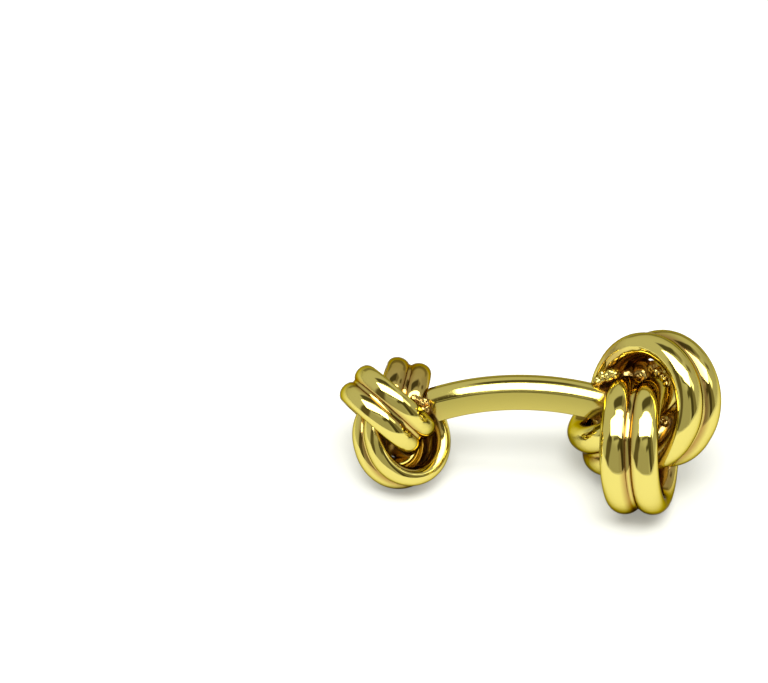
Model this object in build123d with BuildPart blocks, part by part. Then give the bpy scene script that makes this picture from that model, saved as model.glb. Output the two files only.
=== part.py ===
"""Knot cufflink: a large and a small knot of double-ribbed loops on a curved bar.

Millimetres. The bar runs along X from the small knot to the large one and arches
towards +Z. The cufflink lies as it rests by itself, on two loops of the large knot
and one loop of the small knot. The floor is Z = 0, and the origin is on the floor
under the middle of the cufflink's box.
"""
import os
from math import cos, degrees, hypot, radians, sin, sqrt
from typing import NamedTuple

from build123d import *

# Large knot's loops
face_rib_width = 2.16  # across one rib
face_rib_depth = 1.78  # through one rib, from the outside of the loop to its inside
face_rib_overlap = 0.10  # how far a loop's two ribs are melted together
face_bend_radius = 3.97  # from the middle of a bend to the middle of its ribs
face_straight_run = 0.40  # between the two bends of a loop
face_lean = 35.9  # degrees between a loop's own axis and the knot's axis
face_shift_share = 0.475  # from the knot's middle to a loop's, as a share of a loop's half length

# Small knot's loops
end_rib_width = 1.71
end_rib_depth = 1.38
end_rib_overlap = 0.07
end_bend_radius = 2.83
end_straight_run = 0.29
end_lean = 38.0
end_shift_share = 0.497

# Loops that interlace in either knot
loops_per_knot = 3

# Large knot's seat on the bar
face_slope = 15.0  # degrees that the bar runs down towards the knot there
face_reach_share = 0.91  # from the bar's shoulder to the knot's middle, as a share of a loop's half length
face_drop = 0.69  # how far the knot's middle lies under the line of the bar
face_tip = 8.3  # degrees that the knot's axis is steeper than the bar
face_swing = 4.5  # degrees that the knot's axis swings to the bar's far side
face_twist = -20.9  # degrees that the knot is turned about its own axis

# Small knot's seat on the bar
end_slope = 27.2
end_reach_share = 1.036
end_drop = 0.21
end_tip = -2.2
end_swing = 1.4
end_twist = -10.3

# Bar, arched in one plane
bar_radius = 16.6
bar_width = 2.06
bar_side_height = 1.80
bar_crown = 0.40
bar_lower_round = 0.15
bar_sink = 0.60  # how far each end runs past its shoulder into the knot
bar_offset = 0.20  # how far the bar's plane lies to the far side of the knots' middles

# Gaps between pieces that are soldered on the real cufflink
loop_gap = 0.05
bar_gap = 0.05

# Settling on the floor
settling_rounds = 6
trial_turn = 0.01


class Knot(NamedTuple):
    """One knot: its place on the bar and the sizes of its loops, which are alike."""

    side: int  # 1 at the bar's +X end and -1 at its -X end
    rib_width: float
    rib_depth: float
    rib_overlap: float
    bend_radius: float
    straight_run: float
    lean: float
    shift_share: float
    slope: float
    reach_share: float
    drop: float
    tip: float
    swing: float
    twist: float
    feet: tuple  # the loops that touch the floor


face_knot = Knot(
    side=1,
    rib_width=face_rib_width,
    rib_depth=face_rib_depth,
    rib_overlap=face_rib_overlap,
    bend_radius=face_bend_radius,
    straight_run=face_straight_run,
    lean=face_lean,
    shift_share=face_shift_share,
    slope=face_slope,
    reach_share=face_reach_share,
    drop=face_drop,
    tip=face_tip,
    swing=face_swing,
    twist=face_twist,
    feet=(0, 2),
)
end_knot = Knot(
    side=-1,
    rib_width=end_rib_width,
    rib_depth=end_rib_depth,
    rib_overlap=end_rib_overlap,
    bend_radius=end_bend_radius,
    straight_run=end_straight_run,
    lean=end_lean,
    shift_share=end_shift_share,
    slope=end_slope,
    reach_share=end_reach_share,
    drop=end_drop,
    tip=end_tip,
    swing=end_swing,
    twist=end_twist,
    feet=(2,),
)


def half_length(knot):
    """From a loop's middle to the middle of its ribs, at the end of the loop."""
    return knot.bend_radius + knot.straight_run / 2


def knot_plane(knot):
    """A knot's plane: its normal is the knot's axis, which points at the bar."""
    slope = radians(knot.slope)
    above = Vector(knot.side * sin(slope), 0, cos(slope))
    outwards = Vector(knot.side * cos(slope), 0, -sin(slope))
    middle = above * (bar_radius - knot.drop) + outwards * (half_length(knot) * knot.reach_share)
    steep = radians(knot.slope + knot.tip)
    level_part = -knot.side * cos(steep)
    swing = radians(knot.swing)
    axis = Vector(level_part * cos(swing), level_part * sin(swing), sin(steep))
    level = Vector(0, 0, 1).cross(axis).normalized()
    twist = radians(knot.twist)
    first_loop = level * cos(twist) + axis.cross(level) * sin(twist)
    return Plane(origin=middle, x_dir=first_loop, z_dir=axis)


def loop_planes(seat, knot):
    """The planes of a knot's loops: x along the loop's straight runs, z its own axis."""
    lean = radians(knot.lean)
    shift = half_length(knot) * knot.shift_share
    planes = []
    for count in range(loops_per_knot):
        turn = radians(360 / loops_per_knot * count)
        along = seat.x_dir * cos(turn) + seat.y_dir * sin(turn)
        own_axis = along.cross(seat.z_dir) * sin(lean) + seat.z_dir * cos(lean)
        planes.append(Plane(origin=seat.origin + along * shift, x_dir=along, z_dir=own_axis))
    return planes


def placed_loops(pose):
    """Both knots' loop planes at a pose, each with its knot."""
    loops = []
    for knot in (face_knot, end_knot):
        seat = Plane(pose * knot_plane(knot).location)
        loops.append([(plane, knot) for plane in loop_planes(seat, knot)])
    return loops


def half_extent(plane, knot, way):
    """From a loop's middle to its outermost point in one direction."""
    across = abs(plane.z_dir.dot(way))
    along = abs(plane.x_dir.dot(way))
    in_plane = sqrt(max(0, 1 - across**2))
    to_rib = knot.straight_run / 2 * along + knot.bend_radius * in_plane
    beside = (knot.rib_width - knot.rib_overlap) / 2 * across
    return to_rib + beside + hypot(knot.rib_depth / 2 * in_plane, knot.rib_width / 2 * across)


def foot_steps(turns):
    """How far the second and third foot lie above the first at a roll and a pitch."""
    pose = Location((0, 0, 0), (turns[0], turns[1], 0))
    levels = []
    for loops in placed_loops(pose):
        for foot in loops[0][1].feet:
            plane, knot = loops[foot]
            levels.append(plane.origin.Z - half_extent(plane, knot, Vector(0, 0, 1)))
    return [levels[1] - levels[0], levels[2] - levels[0]]


def settled_turns():
    """The roll and pitch at which the three feet are level, found by small steps."""
    turns = [0.0, 0.0]
    for _ in range(settling_rounds):
        off = foot_steps(turns)
        rolled = foot_steps([turns[0] + trial_turn, turns[1]])
        pitched = foot_steps([turns[0], turns[1] + trial_turn])
        by_roll = [(after - before) / trial_turn for after, before in zip(rolled, off)]
        by_pitch = [(after - before) / trial_turn for after, before in zip(pitched, off)]
        scale = by_roll[0] * by_pitch[1] - by_roll[1] * by_pitch[0]
        turns[0] -= (off[0] * by_pitch[1] - off[1] * by_pitch[0]) / scale
        turns[1] -= (off[1] * by_roll[0] - off[0] * by_roll[1]) / scale
    return turns


def resting_pose():
    """Turns the cufflink onto its feet and sets its box over the origin."""
    roll, pitch = settled_turns()
    turned = Location((0, 0, 0), (roll, pitch, 0))
    loops = [loop for knot_loops in placed_loops(turned) for loop in knot_loops]
    middle = []
    for way in (Vector(1, 0, 0), Vector(0, 1, 0)):
        low = min(plane.origin.dot(way) - half_extent(plane, knot, way) for plane, knot in loops)
        high = max(plane.origin.dot(way) + half_extent(plane, knot, way) for plane, knot in loops)
        middle.append((low + high) / 2)
    floor = min(plane.origin.Z - half_extent(plane, knot, Vector(0, 0, 1)) for plane, knot in loops)
    return Location((-middle[0], -middle[1], -floor)) * turned


def double_ribbed_loop(plane, knot, spare=0.0):
    """A closed loop of two ribs side by side, fatter all over by the spare."""
    along = plane.x_dir
    own_axis = plane.z_dir
    beside = own_axis.cross(along)
    with BuildPart() as loop:
        for end in (1, -1):
            bend = plane.origin + along * (end * knot.straight_run / 2)
            outwards = beside * -end
            rib_middle = bend + outwards * knot.bend_radius
            start = Plane(origin=rib_middle, x_dir=outwards, z_dir=outwards.cross(own_axis))
            with BuildSketch(start) as ribs:
                with GridLocations(0, knot.rib_width - knot.rib_overlap, 1, 2):
                    Ellipse(knot.rib_depth / 2 + spare, knot.rib_width / 2 + spare)
            extrude(ribs.sketch, amount=knot.straight_run)
            revolve(ribs.sketch, axis=Axis(bend, own_axis), revolution_arc=180)
    return loop.part


def notched_loop(loops, count):
    """A loop with a notch where the next one of its knot passes against it."""
    plane, knot = loops[count]
    next_plane, _ = loops[(count + 1) % loops_per_knot]
    with BuildPart() as loop:
        add(double_ribbed_loop(plane, knot))
        add(double_ribbed_loop(next_plane, knot, loop_gap), mode=Mode.SUBTRACT)
    return loop


def curved_bar(pose, knots):
    """The bar: flat sides and underside, a low crown on top, ends shaped to the knots."""
    arch = Plane(pose * Plane.XZ.offset(-bar_offset).location)
    half_height = (bar_side_height + bar_crown) / 2
    past_shoulder = degrees(bar_sink / bar_radius)
    first = radians(90 - face_slope - past_shoulder)
    radial = arch.x_dir * cos(first) + arch.y_dir * sin(first)
    start_middle = arch.origin + radial * bar_radius
    start = Plane(origin=start_middle, x_dir=arch.z_dir, z_dir=arch.z_dir.cross(radial))
    with BuildPart() as bar:
        with BuildSketch(start):
            with BuildLine():
                right = bar_width / 2
                shoulder = bar_side_height - half_height
                Polyline((-right, shoulder), (-right, -half_height), (right, -half_height), (right, shoulder))
                ThreePointArc((right, shoulder), (0, half_height), (-right, shoulder))
            outline = make_face()
            fillet(outline.vertices().group_by(Axis.Y)[0], bar_lower_round)
        revolve(axis=Axis(arch.origin, arch.z_dir), revolution_arc=face_slope + end_slope + 2 * past_shoulder)
        for loops in knots:
            for plane, knot in loops:
                add(double_ribbed_loop(plane, knot, bar_gap), mode=Mode.SUBTRACT)
    return bar


os.makedirs("parts", exist_ok=True)
pose = resting_pose()
knots = placed_loops(pose)

bar = curved_bar(pose, knots)
bar.part.label = "bar"
export_step(bar.part, "parts/bar.step")

for knot_name, loops in zip(("face_knot", "end_knot"), knots):
    for count in range(loops_per_knot):
        loop = notched_loop(loops, count)
        loop.part.label = f"{knot_name}_loop_{count + 1}"
        export_step(loop.part, f"parts/{loop.part.label}.step")
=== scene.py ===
"""Looks of the knot cufflink: polished gold knots, bar and solder on a pale floor."""
import math
from typing import NamedTuple

import bmesh
import bpy
from bpy.props import FloatProperty, FloatVectorProperty, PointerProperty
from mathutils import Matrix, Vector, noise


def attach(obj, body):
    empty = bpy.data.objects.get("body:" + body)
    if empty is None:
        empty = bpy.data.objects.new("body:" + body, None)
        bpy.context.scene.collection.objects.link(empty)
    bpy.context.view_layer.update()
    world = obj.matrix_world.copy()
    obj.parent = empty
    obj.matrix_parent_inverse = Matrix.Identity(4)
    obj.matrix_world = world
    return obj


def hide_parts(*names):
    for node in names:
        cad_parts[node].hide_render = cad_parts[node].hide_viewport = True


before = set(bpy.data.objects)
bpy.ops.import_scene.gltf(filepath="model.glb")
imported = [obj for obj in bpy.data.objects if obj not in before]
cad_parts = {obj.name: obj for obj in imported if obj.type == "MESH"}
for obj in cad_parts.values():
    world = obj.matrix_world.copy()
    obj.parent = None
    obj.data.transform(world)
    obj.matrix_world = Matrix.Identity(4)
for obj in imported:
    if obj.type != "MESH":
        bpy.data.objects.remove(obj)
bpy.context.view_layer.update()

bl_info = {
    "name": "Knot cufflink",
    "version": (1, 0, 0),
    "blender": (4, 5, 0),
    "location": "View3D > Sidebar > Cufflink",
    "description": "Builds the polished gold knots, bar, solder and studio round the packed cufflink",
    "category": "Object",
}

MM = 0.001
SAME_POINT = 1e-7  # metres within which two points are one
SAME_PLANE = 1e-9  # metres within which a point lies on a cutting plane

LOOPS = 3
RIB_POINTS = 64
BEND_STEPS = 84
BAR_STEPS = 120
CROWN_CUTS = 31
TURN_IN_STEPS = 8
LOWER_ROUND_STEPS = 8
EDGE_BREAK_STEPS = 3
ARC_POINTS = 40
ARC_STEPS = 60

FILLET_SINK = 0.92  # how far out the solder in a groove lies, as a share of the groove's edges
FILLET_SHADE = 0.1  # how much painted groove shade the solder in the groove gets
GROOVE_SHADE_REACH = 0.2  # how far the painted shade beside the groove reaches, as a share of a rib's width
MOST_BROWNING = 0.6  # how far the loops are browned near the solder
BROWNING_RISE = 1.2  # how fast that browning rises towards its centre
TURN_IN_POWER = 2.5
CRISP_ANGLE = math.radians(14)
SIDE_SHADE_FALL = 0.45  # how much of the bar side's painted shade fades from the crease to the lower edge


class KnotPlace(NamedTuple):
    """Where a knot sits, in millimetres, and the place by the solder towards which its loops are browned."""

    middle: tuple
    axis: tuple
    first_loop: tuple
    browning_centre: tuple
    browning_reach: float


FACE_KNOT = KnotPlace(
    middle=(8.33915, 0.18871, 5.69982),
    axis=(-0.915189, -0.071566, 0.396621),
    first_loop=(-0.06773, -0.9428, -0.3264),
    browning_centre=(6.4, 2.7, 9.3),
    browning_reach=2.2,
)
END_KNOT = KnotPlace(
    middle=(-9.67847, 0.18722, 4.5022),
    axis=(0.906492, 0.022669, 0.421614),
    first_loop=(0.05133, 0.98523, -0.16333),
    browning_centre=(-8.8, 1.8, 7.4),
    browning_reach=3.1,
)
BAR_CENTRE = Vector((0.54045, 0.37078, -8.67777)) * MM
BAR_SIDEWAYS = Vector((0, -1, 0.001247)).normalized()


# Sizes and colours that a user would change


def length(name, description, millimetres):
    """A length for the panel, given in millimetres."""
    return FloatProperty(name=name, description=description, default=millimetres * MM, unit="LENGTH", min=0)


def angle(name, description, degrees):
    """An angle for the panel, given in degrees."""
    return FloatProperty(name=name, description=description, default=math.radians(degrees), unit="ROTATION")


def colour(name, description, default):
    """A colour for the panel."""
    return FloatVectorProperty(
        name=name, description=description, default=default, subtype="COLOR", min=0, max=1
    )


def brightness(name, description, default):
    """A brightness for the panel."""
    return FloatProperty(name=name, description=description, default=default, min=0)


class FaceKnotSizes(bpy.types.PropertyGroup):
    """Sizes of the large knot's loops."""

    rib_width: length("Rib width", "Across one rib", 2.16)
    rib_depth: length("Rib depth", "Through one rib", 1.78)
    rib_overlap: length("Rib overlap", "How far the ribs melt together", 0.10)
    bend_radius: length("Bend radius", "To the middle of a rib", 3.97)
    straight_run: length("Straight run", "Between a loop's bends", 0.40)
    shift: length("Shift", "From the knot's middle to a loop's middle", 1.981)
    lean: angle("Lean", "Between a loop's axis and the knot's", 35.9)
    fillet_half: length("Fillet", "Half the width of the solder in the groove", 0.16)


class EndKnotSizes(bpy.types.PropertyGroup):
    """Sizes of the small knot's loops."""

    rib_width: length("Rib width", "Across one rib", 1.71)
    rib_depth: length("Rib depth", "Through one rib", 1.38)
    rib_overlap: length("Rib overlap", "How far the ribs melt together", 0.07)
    bend_radius: length("Bend radius", "To the middle of a rib", 2.83)
    straight_run: length("Straight run", "Between a loop's bends", 0.29)
    shift: length("Shift", "From the knot's middle to a loop's middle", 1.479)
    lean: angle("Lean", "Between a loop's axis and the knot's", 38.0)
    fillet_half: length("Fillet", "Half the width of the solder in the groove", 0.12)


class BarSizes(bpy.types.PropertyGroup):
    """Sizes of the curved bar."""

    radius: length("Radius", "Of the bar's arch", 16.6)
    width: length("Width", "Across the bar", 2.06)
    side_height: length("Side height", "Of the flat sides", 1.80)
    crown: length("Crown", "Height of the domed top", 0.40)
    lower_round: length("Lower round", "Radius of the lower edges", 0.15)
    edge_break: length("Edge break", "Width of the bevel beside the crown", 0.06)
    side_turn_in: length("Turn-in", "How far the sides lean in at the crown", 0.12)
    side_turn_depth: length("Turn-in depth", "Height over which they lean in", 1.0)
    face_end: angle("Large end", "Slope where the large knot begins", 17.0)
    end_end: angle("Small end", "Slope where the small knot begins", 26.6)


class SolderSizes(bpy.types.PropertyGroup):
    """Sizes of the solder inside the small knot's foot."""

    arc_radius: length("Arc radius", "To the middle of the arc", 1.85)
    arc_thickness: length("Arc thickness", "Across the arc", 1.2)
    arc_set_back: length("Set-back", "From the loop's middle to its rear", 1.25)
    arc_start: angle("Start", "Where the arc starts", -50)
    arc_turn: angle("Turn", "Of the arc", 140)


class GoldColours(bpy.types.PropertyGroup):
    """Colours of the gold and of the shade painted on it; the inner shade's colour also browns the gold near
    the solder.
    """

    polished: colour("Polished gold", "Of the knots", (0.83, 0.715, 0.19))
    # painted shade in the knots' grooves, and a painted dark reflection along the bar's lower edges
    groove: colour("Groove gold", "Down in the grooves", (0.45, 0.27, 0.07))
    # painted shade on the loops' inner sides, also used to brown the gold near the solder
    inside: colour("Inner gold", "Inside the loops", (0.45, 0.28, 0.08))
    # painted shade where the metal closes in
    crevice_shade: colour("Crevice gold", "Where pieces meet", (0.50, 0.32, 0.11))
    rim: colour("Rim tint", "Where the gold is seen edge on", (0.30, 0.24, 0.13))
    # painted shade on the bar's sides
    bar_side_shade: colour("Side gold", "Of the bar's sides", (0.41, 0.35, 0.08))


class StudioLook(bpy.types.PropertyGroup):
    """Floor and light."""

    floor_colour: colour("Floor", "Under the cufflink", (0.47, 0.47, 0.445))
    # painted shade of the floor far off
    far_floor_shade: colour("Far floor", "Beyond the picture", (0.28, 0.28, 0.265))
    # painted glow on the floor, seen by the camera only
    painted_glow_colour: colour("Lift colour", "Of the lift", (0.50, 0.515, 0.48))
    painted_floor_glow: brightness("Floor lift", "Brightness added for the camera", 0.54)
    surround: brightness("Surround", "Brightness of the tent", 1.0)
    softbox: brightness("Softbox", "Brightness of the light overhead", 6.0)
    fill: brightness("Fill", "Brightness of the light in front", 17.0)


class CufflinkSettings(bpy.types.PropertyGroup):
    """Everything that the panel shows."""

    face_knot: PointerProperty(name="Large knot", description="Its sizes", type=FaceKnotSizes)
    end_knot: PointerProperty(name="Small knot", description="Its sizes", type=EndKnotSizes)
    bar: PointerProperty(name="Bar", description="Its sizes", type=BarSizes)
    solder: PointerProperty(name="Solder", description="Its sizes", type=SolderSizes)
    gold: PointerProperty(name="Gold", description="Its colours", type=GoldColours)
    studio: PointerProperty(name="Studio", description="Floor and light", type=StudioLook)


# Meshes


def finished_piece(bm, name, material, node=None):
    """Makes a smooth object of a bmesh, which rides on the cufflink's one body."""
    bmesh.ops.remove_doubles(bm, verts=bm.verts, dist=SAME_POINT)
    bmesh.ops.recalc_face_normals(bm, faces=bm.faces)
    for face in bm.faces:
        face.smooth = True
    mesh = bpy.data.meshes.new(name)
    bm.to_mesh(mesh)
    bm.free()
    mesh.materials.append(material)
    piece = bpy.data.objects.new(name, mesh)
    bpy.context.scene.collection.objects.link(piece)
    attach(piece, "root")
    if node:
        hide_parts(node)


def everything(bm):
    """All of a bmesh's vertices, edges and faces."""
    return bm.verts[:] + bm.edges[:] + bm.faces[:]


def axes_matrix(x_axis, y_axis, z_axis):
    """A turn to the given axes."""
    return Matrix((x_axis, y_axis, z_axis)).transposed().to_4x4()


def loop_matrices(place, sizes):
    """Each loop's place: X along its straight runs, Z its own axis."""
    axis = Vector(place.axis).normalized()
    first = Vector(place.first_loop).normalized()
    matrices = []
    for count in range(LOOPS):
        along = Matrix.Rotation(math.tau / LOOPS * count, 3, axis) @ first
        own_axis = along.cross(axis) * math.sin(sizes.lean) + axis * math.cos(sizes.lean)
        middle = Vector(place.middle) * MM + along * sizes.shift
        matrices.append(Matrix.Translation(middle) @ axes_matrix(along, own_axis.cross(along), own_axis))
    return matrices


def rib_outline(bm, sizes):
    """The closed outline of two ribs melted together, upright in the XZ plane with X outwards."""
    half_pitch = (sizes.rib_width - sizes.rib_overlap) / 2
    bmesh.ops.create_circle(bm, segments=RIB_POINTS, radius=1)
    upright = Matrix.Rotation(math.pi / 2, 4, "X")
    size = Matrix.Diagonal((sizes.rib_depth / 2, 1, sizes.rib_width / 2, 1))
    bmesh.ops.transform(bm, matrix=Matrix.Translation((0, 0, half_pitch)) @ size @ upright, verts=bm.verts)
    bmesh.ops.bisect_plane(
        bm,
        geom=everything(bm),
        dist=SAME_PLANE,
        plane_co=(0, 0, sizes.fillet_half),
        plane_no=(0, 0, 1),
        clear_inner=True,
    )
    lowest = [vert for vert in bm.verts if abs(vert.co.z - sizes.fillet_half) < SAME_POINT]
    fillet = bmesh.ops.extrude_vert_indiv(bm, verts=lowest)["verts"]
    bmesh.ops.scale(bm, vec=(FILLET_SINK, 1, 0), verts=fillet)
    bmesh.ops.mirror(bm, geom=everything(bm), axis="Z", merge_dist=SAME_POINT)
    bmesh.ops.remove_doubles(bm, verts=bm.verts, dist=SAME_POINT)


def loop_mesh(sizes):
    """A closed loop: two half turns and the straight runs between them."""
    bm = bmesh.new()
    rib_outline(bm, sizes)
    half_run = sizes.straight_run / 2
    start = Matrix.Translation((half_run, -sizes.bend_radius, 0)) @ Matrix.Rotation(-math.pi / 2, 4, "Z")
    bmesh.ops.transform(bm, matrix=start, verts=bm.verts)
    outline = everything(bm)
    for end in (1, -1):
        turned = bmesh.ops.spin(
            bm,
            geom=outline,
            cent=(end * half_run, 0, 0),
            axis=(0, 0, 1),
            angle=math.pi,
            steps=BEND_STEPS,
            use_merge=False,
        )
        last = [item for item in turned["geom_last"] if isinstance(item, bmesh.types.BMEdge)]
        run = bmesh.ops.extrude_edge_only(bm, edges=last)["geom"]
        moved = [item for item in run if isinstance(item, bmesh.types.BMVert)]
        bmesh.ops.translate(bm, vec=(-end * sizes.straight_run, 0, 0), verts=moved)
        outline = moved + [item for item in run if isinstance(item, bmesh.types.BMEdge)]
    bmesh.ops.remove_doubles(bm, verts=bm.verts, dist=SAME_POINT)
    return bm


def mark_loop(bm, sizes):
    """Stores two masks of painted shade: how near each point is to the groove, and how far it lies to the
    inside of the loop.
    """
    groove = bm.verts.layers.float.new("groove")
    inside = bm.verts.layers.float.new("inside")
    for vert in bm.verts:
        # painted shade on the loop's inner side, fullest at its innermost point
        past_run = max(0.0, abs(vert.co.x) - sizes.straight_run / 2)
        inwards = sizes.bend_radius - math.hypot(past_run, vert.co.y)
        vert[inside] = min(1.0, max(0.0, inwards / (sizes.rib_depth / 2)))
        # painted shade beside the groove, fullest at its edges, and a little on the solder in it
        beyond = abs(vert.co.z) - sizes.fillet_half
        on_rib = beyond > -SAME_POINT
        vert[groove] = max(0.0, 1 - beyond / (sizes.rib_width * GROOVE_SHADE_REACH)) if on_rib else FILLET_SHADE
    for edge in bm.edges:
        edge.smooth = any(abs(abs(vert.co.z) - sizes.fillet_half) > SAME_POINT for vert in edge.verts)


def brown_near_solder(bm, place):
    """Browns a placed loop near a given place by the solder, through the mask that also holds its painted
    inner shade.
    """
    inside = bm.verts.layers.float["inside"]
    browning_centre = Vector(place.browning_centre)
    for vert in bm.verts:
        off = (vert.co / MM - browning_centre).length
        vert[inside] = max(vert[inside], min(MOST_BROWNING, BROWNING_RISE * (1 - off / place.browning_reach)))


def make_knot(name, place, sizes, material):
    """Three loops that pass through each other."""
    for count, matrix in enumerate(loop_matrices(place, sizes)):
        bm = loop_mesh(sizes)
        mark_loop(bm, sizes)
        bmesh.ops.transform(bm, matrix=matrix, verts=bm.verts)
        brown_near_solder(bm, place)
        node = f"{name}_loop_{count + 1}"
        finished_piece(bm, f"{node}_look", material, node)


class Lump(NamedTuple):
    """A lump of solder, in millimetres."""

    x: float
    y: float
    z: float
    radius: float
    unevenness: float = 0.45


FACE_SOLDER = (
    Lump(5.0, 1.15, 8.5, 0.50),
    Lump(5.35, 1.2, 8.9, 0.42),
    Lump(5.7, 1.15, 9.15, 0.44),
    Lump(6.1, 1.1, 9.35, 0.36),
    Lump(8.3, 2.9, 7.7, 1.2, 0.1),
    Lump(7.2, 2.6, 7.6, 0.9, 0.1),
    Lump(7.9, 2.1, 8.3, 0.3),
    Lump(8.85, 2.6, 8.6, 0.46),
    Lump(9.3, 1.9, 8.9, 0.42),
    Lump(9.65, 1.2, 9.1, 0.34),
    Lump(9.85, 0.6, 9.15, 0.28),
    Lump(9.75, -1.5, 7.5, 0.30),
    Lump(9.95, -1.75, 7.4, 0.22),
)
END_SOLDER = (
    Lump(-8.3, -0.45, 7.25, 0.32),
    Lump(-8.0, -0.6, 7.1, 0.36),
    Lump(-7.7, -0.6, 6.95, 0.36),
    Lump(-7.45, -0.5, 6.95, 0.34),
    Lump(-7.35, -0.9, 6.7, 0.32),
    Lump(-7.6, -1.3, 6.9, 0.30),
)
# how far each knot's solder is browned, through the loops' inner-shade mask
FACE_SOLDER_BROWNING = 0.25
END_SOLDER_BROWNING = 0.85
LUMP_FINENESS = 4
SWELL_SCALE = 1.6  # swells to a millimetre
SWELL_DIMENSION = 0.7
SWELL_LACUNARITY = 2.1
SWELL_OCTAVES = 4


def make_solder(name, lumps, material, browning):
    """Rough lumps of solder where the loops and the bar meet."""
    bm = bmesh.new()
    for lump in lumps:
        made = bmesh.ops.create_icosphere(bm, subdivisions=LUMP_FINENESS, radius=lump.radius * MM)
        middle = Vector((lump.x, lump.y, lump.z)) * MM
        for vert in made["verts"]:
            place = (vert.co + middle) / MM * SWELL_SCALE
            swell = noise.fractal(place, SWELL_DIMENSION, SWELL_LACUNARITY, SWELL_OCTAVES)
            vert.co *= 1 + lump.unevenness * swell
        bmesh.ops.translate(bm, vec=middle, verts=made["verts"])
    # browns the solder through the mask that holds the loops' painted inner shade
    inside = bm.verts.layers.float.new("inside")
    for vert in bm.verts:
        vert[inside] = browning
    finished_piece(bm, name, material)


def make_inner_fillet(name, matrix, sizes, material):
    """The smooth arc of solder inside the small knot's foot, against its rear rib."""
    bm = bmesh.new()
    bmesh.ops.create_circle(bm, segments=ARC_POINTS, radius=sizes.arc_thickness / 2)
    upright = Matrix.Rotation(math.pi / 2, 4, "X")
    seat = Matrix.Translation((sizes.arc_radius, 0, -sizes.arc_set_back))
    start = Matrix.Rotation(sizes.arc_start, 4, "Z")
    bmesh.ops.transform(bm, matrix=start @ seat @ upright, verts=bm.verts)
    bmesh.ops.spin(
        bm,
        geom=everything(bm),
        cent=(0, 0, 0),
        axis=(0, 0, 1),
        angle=sizes.arc_turn,
        steps=ARC_STEPS,
        use_merge=False,
    )
    bmesh.ops.holes_fill(bm, edges=[edge for edge in bm.edges if edge.is_boundary], sides=0)
    bmesh.ops.transform(bm, matrix=matrix, verts=bm.verts)
    finished_piece(bm, name, material)


def bevel_corners(bm, corners, offset, steps):
    """Rounds corners of an outline."""
    bmesh.ops.bevel(
        bm, geom=corners, offset=offset, segments=steps, profile=0.5, affect="VERTICES", material=-1
    )


def bar_outline(bm, sizes):
    """The bar's section in the XY plane: X sideways, Y away from the arch's centre."""
    half = sizes.width / 2
    half_height = (sizes.side_height + sizes.crown) / 2
    shoulder = sizes.side_height - half_height
    bmesh.ops.create_grid(bm, x_segments=1, y_segments=1, size=1)
    size = Matrix.Diagonal((half, (shoulder + half_height) / 2, 1, 1))
    middle = Matrix.Translation((0, (shoulder - half_height) / 2, 0))
    bmesh.ops.transform(bm, matrix=middle @ size, verts=bm.verts)
    lower = [vert for vert in bm.verts if abs(vert.co.y + half_height) < SAME_POINT]
    bevel_corners(bm, lower, sizes.lower_round, LOWER_ROUND_STEPS)
    for step in range(1, TURN_IN_STEPS + 1):
        level = shoulder - sizes.side_turn_depth * step / TURN_IN_STEPS
        bmesh.ops.bisect_plane(
            bm, geom=everything(bm), dist=SAME_PLANE, plane_co=(0, level, 0), plane_no=(0, 1, 0)
        )
    upper = [vert for vert in bm.verts if abs(vert.co.y - shoulder) < SAME_POINT]
    bevel_corners(bm, upper, sizes.edge_break, EDGE_BREAK_STEPS)
    top = [edge for edge in bm.edges if all(abs(vert.co.y - shoulder) < SAME_POINT for vert in edge.verts)]
    bmesh.ops.subdivide_edges(bm, edges=top, cuts=CROWN_CUTS)
    for vert in bm.verts:
        if abs(vert.co.y - shoulder) < SAME_POINT:
            vert.co.y += sizes.crown * (1 - (vert.co.x / half) ** 2)
        below = min(1.0, max(0.0, (shoulder - vert.co.y) / sizes.side_turn_depth))
        vert.co.x *= 1 - sizes.side_turn_in / half * (1 - below) ** TURN_IN_POWER


def bar_mesh(sizes):
    """The bar: its section spun along the arch from the small knot to the large one."""
    bm = bmesh.new()
    bar_outline(bm, sizes)
    outwards = BAR_SIDEWAYS.cross(Vector((1, 0, 0))).normalized()
    section = axes_matrix(BAR_SIDEWAYS, outwards, outwards.cross(BAR_SIDEWAYS))
    place = Matrix.Translation(BAR_CENTRE) @ section @ Matrix.Translation((0, sizes.radius, 0))
    bmesh.ops.transform(bm, matrix=place, verts=bm.verts)
    start = Matrix.Rotation(sizes.end_end, 3, BAR_SIDEWAYS)
    bmesh.ops.rotate(bm, cent=BAR_CENTRE, matrix=start, verts=bm.verts)
    bmesh.ops.spin(
        bm,
        geom=everything(bm),
        cent=BAR_CENTRE,
        axis=-BAR_SIDEWAYS,
        angle=sizes.end_end + sizes.face_end,
        steps=BAR_STEPS,
        use_merge=False,
    )
    return bm


def make_bar(sizes, material):
    """The curved bar, with crisp edges where its sides meet the domed top, painted shade on its sides and a
    painted dark reflection along their lower edges.
    """
    bm = bar_mesh(sizes)
    bmesh.ops.recalc_face_normals(bm, faces=bm.faces)
    for edge in bm.edges:
        if len(edge.link_faces) == 2:
            edge.smooth = edge.calc_face_angle(0) < CRISP_ANGLE
    side = bm.verts.layers.float.new("side")
    groove = bm.verts.layers.float.new("groove")
    crease = sizes.radius + (sizes.side_height - sizes.crown) / 2
    for vert in bm.verts:
        below = crease - math.hypot(vert.co.x - BAR_CENTRE.x, vert.co.z - BAR_CENTRE.z)
        # painted shade on the side, darkest at the crease and lighter towards the lower edge
        vert[side] = 1 - SIDE_SHADE_FALL * below / sizes.side_height if below > 0 else 0.0
        down_round = 1 + min(0.0, max(-1.0, (below - sizes.side_height) / sizes.lower_round))
        vert[groove] = 4 * down_round * (1 - down_round)  # painted dark reflection, brownest halfway down the lower round
    finished_piece(bm, "bar_look", material, "bar")


# Materials


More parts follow.
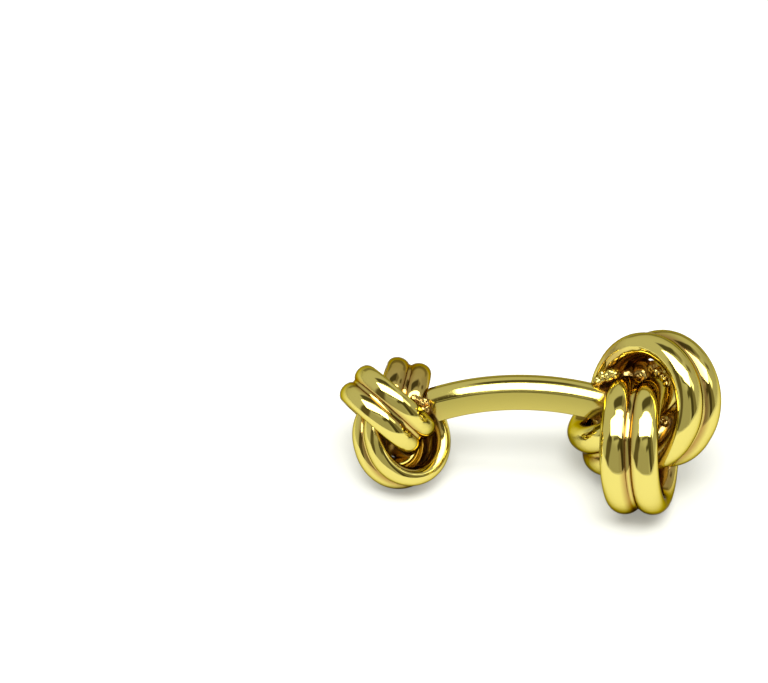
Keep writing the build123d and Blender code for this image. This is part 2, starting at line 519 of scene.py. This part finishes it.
class Finish(NamedTuple):
    """A finish of the gold: its roughness, its relief in metres and the stretch of its marks."""

    roughness: float
    relief: float
    stretch: tuple = (1, 1, 1)
    # painted shade, and more roughness, in the crevices
    crevice_shade_and_roughness: bool = True


KNOT_FINISH = Finish(0.045, 0.000024)
BAR_FINISH = Finish(0.08, 0.000003, (0.3, 1, 1))
SOLDER_FINISH = Finish(0.10, 0.00002)
ARC_FINISH = Finish(0.06, 0.000004, crevice_shade_and_roughness=False)
SMOOTHEST = 0.7  # roughness where there are no scratches, as a share of the finish's
ROUGHEST = 1.6  # and where there are the most
SCRATCH_SPAN = (0.3, 0.8)  # of the noise that stands for none and for the most
SLOW_SCALE = 900.0  # swells of the polish to a metre
FINE_SCALE = 6  # scratches to a swell
CREVICE_REACH = 1.6 * MM
CREVICE_SPAN = (0.25, 0.85)  # how open a point is where it is fully closed in and not at all
CREVICE_ROUGHNESS = 0.3


def set_inputs(tree, node, values):
    """Sets a node's inputs, each to a plain value or to another node's output."""
    for name, value in values.items():
        if isinstance(value, bpy.types.NodeSocket):
            tree.links.new(value, node.inputs[name])
        else:
            node.inputs[name].default_value = value


def add_node(tree, kind, values, **settings):
    """Adds a node with its settings and its inputs."""
    node = tree.nodes.new(kind)
    for name, value in settings.items():
        setattr(node, name, value)
    set_inputs(tree, node, values)
    return node


def math_output(tree, operation, *values):
    """The result of a sum on plain values or outputs."""
    return add_node(tree, "ShaderNodeMath", dict(enumerate(values)), operation=operation).outputs[0]


def ranged_output(tree, value, span, result, interpolation="LINEAR"):
    """A value moved from one span to another."""
    inputs = {
        "Value": value,
        "From Min": span[0],
        "From Max": span[1],
        "To Min": result[0],
        "To Max": result[1],
    }
    return add_node(tree, "ShaderNodeMapRange", inputs, interpolation_type=interpolation).outputs["Result"]


def mixed_output(tree, first, second, factor):
    """A colour, or the colour of another mix, mixed with a second colour."""
    first = first if isinstance(first, bpy.types.NodeSocket) else (*first, 1)
    inputs = {"A": first, "B": (*second, 1), "Factor": factor}
    return add_node(tree, "ShaderNodeMix", inputs, data_type="RGBA").outputs["Result"]


def node_group(name, inputs, outputs):
    """An empty shader node group with named inputs, and float outputs."""
    group = bpy.data.node_groups.new(name, "ShaderNodeTree")
    for label, kind, default in inputs:
        socket = group.interface.new_socket(name=label, in_out="INPUT", socket_type=kind)
        socket.default_value = default
    for label in outputs:
        group.interface.new_socket(name=label, in_out="OUTPUT", socket_type="NodeSocketFloat")
    return group, group.nodes.new("NodeGroupInput").outputs, group.nodes.new("NodeGroupOutput")


def handling_group():
    """Fine scratches and a slow unevenness of the polish."""
    group, given, out = node_group(
        "Handling",
        [("Scale", "NodeSocketFloat", SLOW_SCALE), ("Stretch", "NodeSocketVector", (1, 1, 1))],
        ["Scratches", "Unevenness"],
    )
    place = add_node(group, "ShaderNodeTexCoord", {}).outputs["Object"]
    turned = {"Vector": place, "Scale": given["Stretch"]}
    stretched = add_node(group, "ShaderNodeMapping", turned).outputs["Vector"]
    finer = math_output(group, "MULTIPLY", given["Scale"], FINE_SCALE)
    scratches = {"Vector": stretched, "Scale": finer, "Detail": 4, "Distortion": 0.4}
    fine = add_node(group, "ShaderNodeTexNoise", scratches)
    slow = add_node(group, "ShaderNodeTexNoise", {"Vector": stretched, "Scale": given["Scale"], "Detail": 1})
    set_inputs(group, out, {"Scratches": fine.outputs["Fac"], "Unevenness": slow.outputs["Fac"]})
    return group


def crevice_group():
    """How closed in a point is by the metal round it."""
    group, given, out = node_group("Crevice", [("Distance", "NodeSocketFloat", CREVICE_REACH)], ["Closed in"])
    open_part = add_node(group, "ShaderNodeAmbientOcclusion", {"Distance": given["Distance"]}, samples=6)
    closed = ranged_output(group, open_part.outputs["AO"], CREVICE_SPAN, (1, 0), "SMOOTHSTEP")
    set_inputs(group, out, {"Closed in": closed})
    return group


def shared_group(tree, name, make):
    """A node of a shared group, which is made when it is first asked for."""
    node = tree.nodes.new("ShaderNodeGroup")
    node.node_tree = bpy.data.node_groups.get(name) or make()
    return node


def new_material(name):
    """A material, its node tree and its surface shader."""
    material = bpy.data.materials.new(name)
    material.use_nodes = True
    return material, material.node_tree, material.node_tree.nodes["Principled BSDF"]


def gold_material(name, colours, finish):
    """Yellow gold, with the shared handling marks, painted shade in the grooves, on the inner sides, in the
    crevices and on the bar's sides, and browning near the solder.
    """
    existing = bpy.data.materials.get(name)
    if existing:
        return existing
    material, tree, shader = new_material(name)
    handling = shared_group(tree, "Handling", handling_group)
    set_inputs(tree, handling, {"Stretch": finish.stretch})
    tone = colours.polished
    # each mask mixes in painted shade, on the bar's lower edges a painted dark reflection; the inner-shade
    # mask also holds the browning near the solder
    for label, other in (("inside", colours.inside), ("groove", colours.groove), ("side", colours.bar_side_shade)):
        mask = add_node(tree, "ShaderNodeAttribute", {}, attribute_name=label).outputs["Fac"]
        tone = mixed_output(tree, tone, other, mask)
    span = (finish.roughness * SMOOTHEST, finish.roughness * ROUGHEST)
    roughness = ranged_output(tree, handling.outputs["Scratches"], SCRATCH_SPAN, span)
    if finish.crevice_shade_and_roughness:
        closed = shared_group(tree, "Crevice", crevice_group).outputs["Closed in"]
        # painted shade where the metal closes in round a point, which is also rougher there
        tone = mixed_output(tree, tone, colours.crevice_shade, closed)
        roughness = ranged_output(tree, closed, (0, 1), (roughness, CREVICE_ROUGHNESS))
    relief = {"Strength": 1, "Distance": finish.relief, "Height": handling.outputs["Unevenness"]}
    looks = {
        "Metallic": 1,
        "Specular Tint": (*colours.rim, 1),
        "Base Color": tone,
        "Roughness": roughness,
        "Normal": add_node(tree, "ShaderNodeBump", relief).outputs["Normal"],
    }
    set_inputs(tree, shader, looks)
    return material


# Studio

CAMERA_SEAT = Vector((2.7550, -158.7702, 158.9918)) * MM
CAMERA_AZIMUTH = math.radians(4.72)
CAMERA_ELEVATION = math.radians(42.57)
CAMERA_ROLL, CAMERA_PITCH = math.radians(-0.0715), math.radians(0.0617)
CAMERA_LENS = 141.8
CAMERA_SENSOR = 36
NEAREST_SEEN = 0.01

FLOOR_HALF = 1.5
NEAR_FLOOR_SHIFT = 0.05  # how far the middle of the near floor lies before the cufflink
# where the floor's painted shade begins and where it is full, in metres from the shifted middle
NEAR_FLOOR = 0.05
FAR_FLOOR = 0.13
WHITE = (1, 1, 1)

OVERHEAD_PLACE = (0.09, -0.17, 1.0)
OVERHEAD_SIZE = (1.58, 0.66)
OVERHEAD_ON_FLOOR = 0.35  # how much of its light the dull floor takes
FILL_PLACE = (0.02, -0.40, 0.93)
FILL_TILT = 23  # degrees
FILL_SIZE = (0.4, 0.3)

LEAST_AHEAD = 0.0001  # keeps the division for a panel from running away beside it
IN_FRONT = 0.001  # a direction less ahead than this isn't in front of the panel's plane


def camera_at_photo():
    """The camera at the photograph's angle."""
    data = bpy.data.cameras.new("camera")
    data.sensor_width = CAMERA_SENSOR
    data.lens = CAMERA_LENS
    data.clip_start = NEAREST_SEEN
    camera = bpy.data.objects.new("camera", data)
    bpy.context.scene.collection.objects.link(camera)
    level = math.cos(CAMERA_ELEVATION)
    back = Vector(
        (math.sin(CAMERA_AZIMUTH) * level, -math.cos(CAMERA_AZIMUTH) * level, math.sin(CAMERA_ELEVATION))
    )
    side = Vector((math.cos(CAMERA_AZIMUTH), math.sin(CAMERA_AZIMUTH), 0))
    settle = Matrix.Rotation(CAMERA_PITCH, 3, "Y") @ Matrix.Rotation(CAMERA_ROLL, 3, "X")
    turn = axes_matrix(settle @ side, settle @ back.cross(side), settle @ back)
    camera.matrix_world = Matrix.Translation(CAMERA_SEAT) @ turn
    bpy.context.scene.camera = camera


def floor_piece(look):
    """A wide pale floor, with painted shade that dims it far off and a painted glow that makes it a little
    brighter to the camera than to the gold.
    """
    bm = bmesh.new()
    bmesh.ops.create_grid(bm, x_segments=1, y_segments=1, size=FLOOR_HALF)
    mesh = bpy.data.meshes.new("floor")
    bm.to_mesh(mesh)
    bm.free()
    floor = bpy.data.objects.new("floor", mesh)
    bpy.context.scene.collection.objects.link(floor)
    material, tree, shader = new_material("pale_floor")
    place = add_node(tree, "ShaderNodeTexCoord", {}).outputs["Object"]
    shift = {"Vector": place, "Location": (0, NEAR_FLOOR_SHIFT, 0)}
    shifted = add_node(tree, "ShaderNodeMapping", shift).outputs["Vector"]
    off = add_node(tree, "ShaderNodeVectorMath", {0: shifted}, operation="LENGTH").outputs["Value"]
    # painted shade: the floor dims far off
    far = ranged_output(tree, off, (NEAR_FLOOR, FAR_FLOOR), (0, 1), "SMOOTHSTEP")
    to_camera = add_node(tree, "ShaderNodeLightPath", {}).outputs["Is Camera Ray"]
    looks = {
        "Base Color": mixed_output(tree, look.floor_colour, look.far_floor_shade, far),
        "Roughness": 0.9,
        "Specular IOR Level": 0.1,
        # painted glow: emission that only the camera sees, which lightens the floor and its shadows
        "Emission Color": mixed_output(tree, look.painted_glow_colour, WHITE, far),
        "Emission Strength": math_output(tree, "MULTIPLY", to_camera, look.painted_floor_glow),
    }
    set_inputs(tree, shader, looks)
    mesh.materials.append(material)


def panel_group():
    """A soft-edged rectangle on the tent, 1 inside and 0 outside."""
    group, given, out = node_group(
        "Tent panel",
        [
            ("Direction", "NodeSocketVector", (0, 0, 1)),
            ("Facing", "NodeSocketVector", (0, 0, 1)),
            ("Sideways", "NodeSocketVector", (1, 0, 0)),
            ("Upwards", "NodeSocketVector", (0, 1, 0)),
            ("Half width", "NodeSocketFloat", 0.5),
            ("Half height", "NodeSocketFloat", 0.5),
            ("Softness", "NodeSocketFloat", 0.05),
        ],
        ["Inside"],
    )

    def towards(other):
        values = {0: given["Direction"], 1: given[other]}
        return add_node(group, "ShaderNodeVectorMath", values, operation="DOT_PRODUCT").outputs["Value"]

    ahead = math_output(group, "MAXIMUM", towards("Facing"), LEAST_AHEAD)
    inside = math_output(group, "GREATER_THAN", towards("Facing"), IN_FRONT)
    for other, half in (("Sideways", "Half width"), ("Upwards", "Half height")):
        off = math_output(group, "ABSOLUTE", math_output(group, "DIVIDE", towards(other), ahead))
        inner = math_output(group, "SUBTRACT", given[half], given["Softness"])
        outer = math_output(group, "ADD", given[half], given["Softness"])
        within = ranged_output(group, off, (inner, outer), (1, 0), "SMOOTHSTEP")
        inside = math_output(group, "MULTIPLY", inside, within)
    set_inputs(group, out, {"Inside": inside})
    return group


class Panel(NamedTuple):
    """A lighter or darker part of the tent: degrees round from the front and up, then half sizes."""

    turn: float
    rise: float
    half_width: float
    half_height: float
    softness: float
    colour: tuple


TENT_WALL = (0.58, 0.575, 0.54)
TENT_PANELS = (
    Panel(-15, 12, 1.1, 0.75, 0.25, (0.42, 0.41, 0.37)),
    Panel(115, 15, 0.6, 0.5, 0.2, (0.48, 0.47, 0.44)),
    Panel(180, 4, 0.7, 0.16, 0.06, (0.30, 0.28, 0.23)),
    Panel(-54, 20, 0.24, 0.6, 0.08, (0.12, 0.10, 0.06)),
    Panel(68, 16, 0.17, 0.55, 0.08, (0.20, 0.18, 0.12)),
    Panel(49, 22, 0.17, 0.65, 0.06, (0.07, 0.06, 0.03)),
    Panel(40, 44, 0.33, 0.11, 0.07, (0.09, 0.08, 0.04)),
    Panel(-54, 42, 0.09, 0.08, 0.04, (0.07, 0.06, 0.03)),
    Panel(118, 34, 0.08, 0.14, 0.05, (0.16, 0.14, 0.09)),
    Panel(150, 56, 0.22, 0.16, 0.08, (0.26, 0.24, 0.18)),
    Panel(-168, 62, 0.36, 0.20, 0.07, (0.09, 0.08, 0.05)),
    Panel(10, 59, 0.38, 0.05, 0.04, (0.16, 0.15, 0.11)),
    Panel(84, 38, 0.12, 0.17, 0.05, (2.2, 2.2, 2.1)),
)


def tent_world(look):
    """A pale tent with lighter and darker panels."""
    world = bpy.data.worlds.new("tent")
    bpy.context.scene.world = world
    world.use_nodes = True
    tree = world.node_tree
    direction = add_node(tree, "ShaderNodeTexCoord", {}).outputs["Generated"]
    tone = TENT_WALL
    for panel in TENT_PANELS:
        turn, rise = math.radians(panel.turn), math.radians(panel.rise)
        facing = Vector((math.sin(turn) * math.cos(rise), -math.cos(turn) * math.cos(rise), math.sin(rise)))
        sideways = Vector((math.cos(turn), math.sin(turn), 0))
        mask = shared_group(tree, "Tent panel", panel_group)
        place = {
            "Direction": direction,
            "Facing": facing,
            "Sideways": sideways,
            "Upwards": facing.cross(sideways),
            "Half width": panel.half_width,
            "Half height": panel.half_height,
            "Softness": panel.softness,
        }
        set_inputs(tree, mask, place)
        tone = mixed_output(tree, tone, panel.colour, mask.outputs["Inside"])
    set_inputs(tree, tree.nodes["Background"], {"Color": tone, "Strength": look.surround})


def soft_light(name, location, tilt, size, strength):
    """A soft rectangular light, tilted towards the cufflink from the front."""
    data = bpy.data.lights.new(name, "AREA")
    data.shape = "RECTANGLE"
    data.size, data.size_y = size
    data.energy = strength * math.pi * data.size * data.size_y
    light = bpy.data.objects.new(name, data)
    light.location = location
    light.rotation_euler = (math.radians(tilt), 0, 0)
    bpy.context.scene.collection.objects.link(light)
    return light


def studio_lights(look):
    """A long light overhead, and one in front that lights the floor and isn't mirrored in the gold."""
    overhead = soft_light("overhead_softbox", OVERHEAD_PLACE, 0, OVERHEAD_SIZE, look.softbox)
    overhead.data.diffuse_factor = OVERHEAD_ON_FLOOR
    fill = soft_light("front_fill", FILL_PLACE, FILL_TILT, FILL_SIZE, look.fill)
    fill.visible_glossy = False


# Operators


class KNOT_CUFFLINK_OT_face_knot(bpy.types.Operator):
    """Makes the large knot's loops"""

    bl_idname = "knot_cufflink.face_knot"
    bl_label = "Large knot"

    def execute(self, context):
        settings = context.scene.knot_cufflink
        gold = gold_material("polished_gold_look", settings.gold, KNOT_FINISH)
        make_knot("face_knot", FACE_KNOT, settings.face_knot, gold)
        return {"FINISHED"}


class KNOT_CUFFLINK_OT_end_knot(bpy.types.Operator):
    """Makes the small knot's loops"""

    bl_idname = "knot_cufflink.end_knot"
    bl_label = "Small knot"

    def execute(self, context):
        settings = context.scene.knot_cufflink
        gold = gold_material("polished_gold_look", settings.gold, KNOT_FINISH)
        make_knot("end_knot", END_KNOT, settings.end_knot, gold)
        return {"FINISHED"}


class KNOT_CUFFLINK_OT_bar(bpy.types.Operator):
    """Makes the curved bar"""

    bl_idname = "knot_cufflink.bar"
    bl_label = "Bar"

    def execute(self, context):
        settings = context.scene.knot_cufflink
        make_bar(settings.bar, gold_material("bar_gold_look", settings.gold, BAR_FINISH))
        return {"FINISHED"}


class KNOT_CUFFLINK_OT_solder(bpy.types.Operator):
    """Adds the solder between the loops and the bar"""

    bl_idname = "knot_cufflink.solder"
    bl_label = "Solder"

    def execute(self, context):
        settings = context.scene.knot_cufflink
        rough = gold_material("solder_look", settings.gold, SOLDER_FINISH)
        make_solder("face_knot_solder_look", FACE_SOLDER, rough, FACE_SOLDER_BROWNING)
        make_solder("end_knot_solder_look", END_SOLDER, rough, END_SOLDER_BROWNING)
        foot = loop_matrices(END_KNOT, settings.end_knot)[-1]
        smooth = gold_material("fillet_look", settings.gold, ARC_FINISH)
        make_inner_fillet("end_knot_fillet_look", foot, settings.solder, smooth)
        return {"FINISHED"}


class KNOT_CUFFLINK_OT_studio(bpy.types.Operator):
    """Sets up the floor, the light and the camera"""

    bl_idname = "knot_cufflink.studio"
    bl_label = "Studio"

    def execute(self, context):
        look = context.scene.knot_cufflink.studio
        floor_piece(look)
        tent_world(look)
        studio_lights(look)
        camera_at_photo()
        context.scene.view_settings.view_transform = "Standard"
        return {"FINISHED"}


class KNOT_CUFFLINK_PT_panel(bpy.types.Panel):
    """Lists the steps and their sizes"""

    bl_idname = "KNOT_CUFFLINK_PT_panel"
    bl_label = "Knot cufflink"
    bl_space_type = "VIEW_3D"
    bl_region_type = "UI"
    bl_category = "Cufflink"

    def draw(self, context):
        settings = context.scene.knot_cufflink
        for operator in OPERATORS:
            self.layout.operator(operator.bl_idname)
        for part in CufflinkSettings.__annotations__:
            group = getattr(settings, part)
            box = self.layout.box()
            for name in group.__annotations__:
                box.prop(group, name)


OPERATORS = (
    KNOT_CUFFLINK_OT_face_knot,
    KNOT_CUFFLINK_OT_end_knot,
    KNOT_CUFFLINK_OT_bar,
    KNOT_CUFFLINK_OT_solder,
    KNOT_CUFFLINK_OT_studio,
)
CLASSES = (
    FaceKnotSizes,
    EndKnotSizes,
    BarSizes,
    SolderSizes,
    GoldColours,
    StudioLook,
    CufflinkSettings,
    *OPERATORS,
    KNOT_CUFFLINK_PT_panel,
)


def register():
    for item in CLASSES:
        bpy.utils.register_class(item)
    bpy.types.Scene.knot_cufflink = PointerProperty(type=CufflinkSettings)


def unregister():
    del bpy.types.Scene.knot_cufflink
    for item in reversed(CLASSES):
        bpy.utils.unregister_class(item)


def main():
    register()
    bpy.ops.knot_cufflink.face_knot()
    bpy.ops.knot_cufflink.end_knot()
    bpy.ops.knot_cufflink.bar()
    bpy.ops.knot_cufflink.solder()
    bpy.ops.knot_cufflink.studio()


if __name__ == "__main__":
    main()
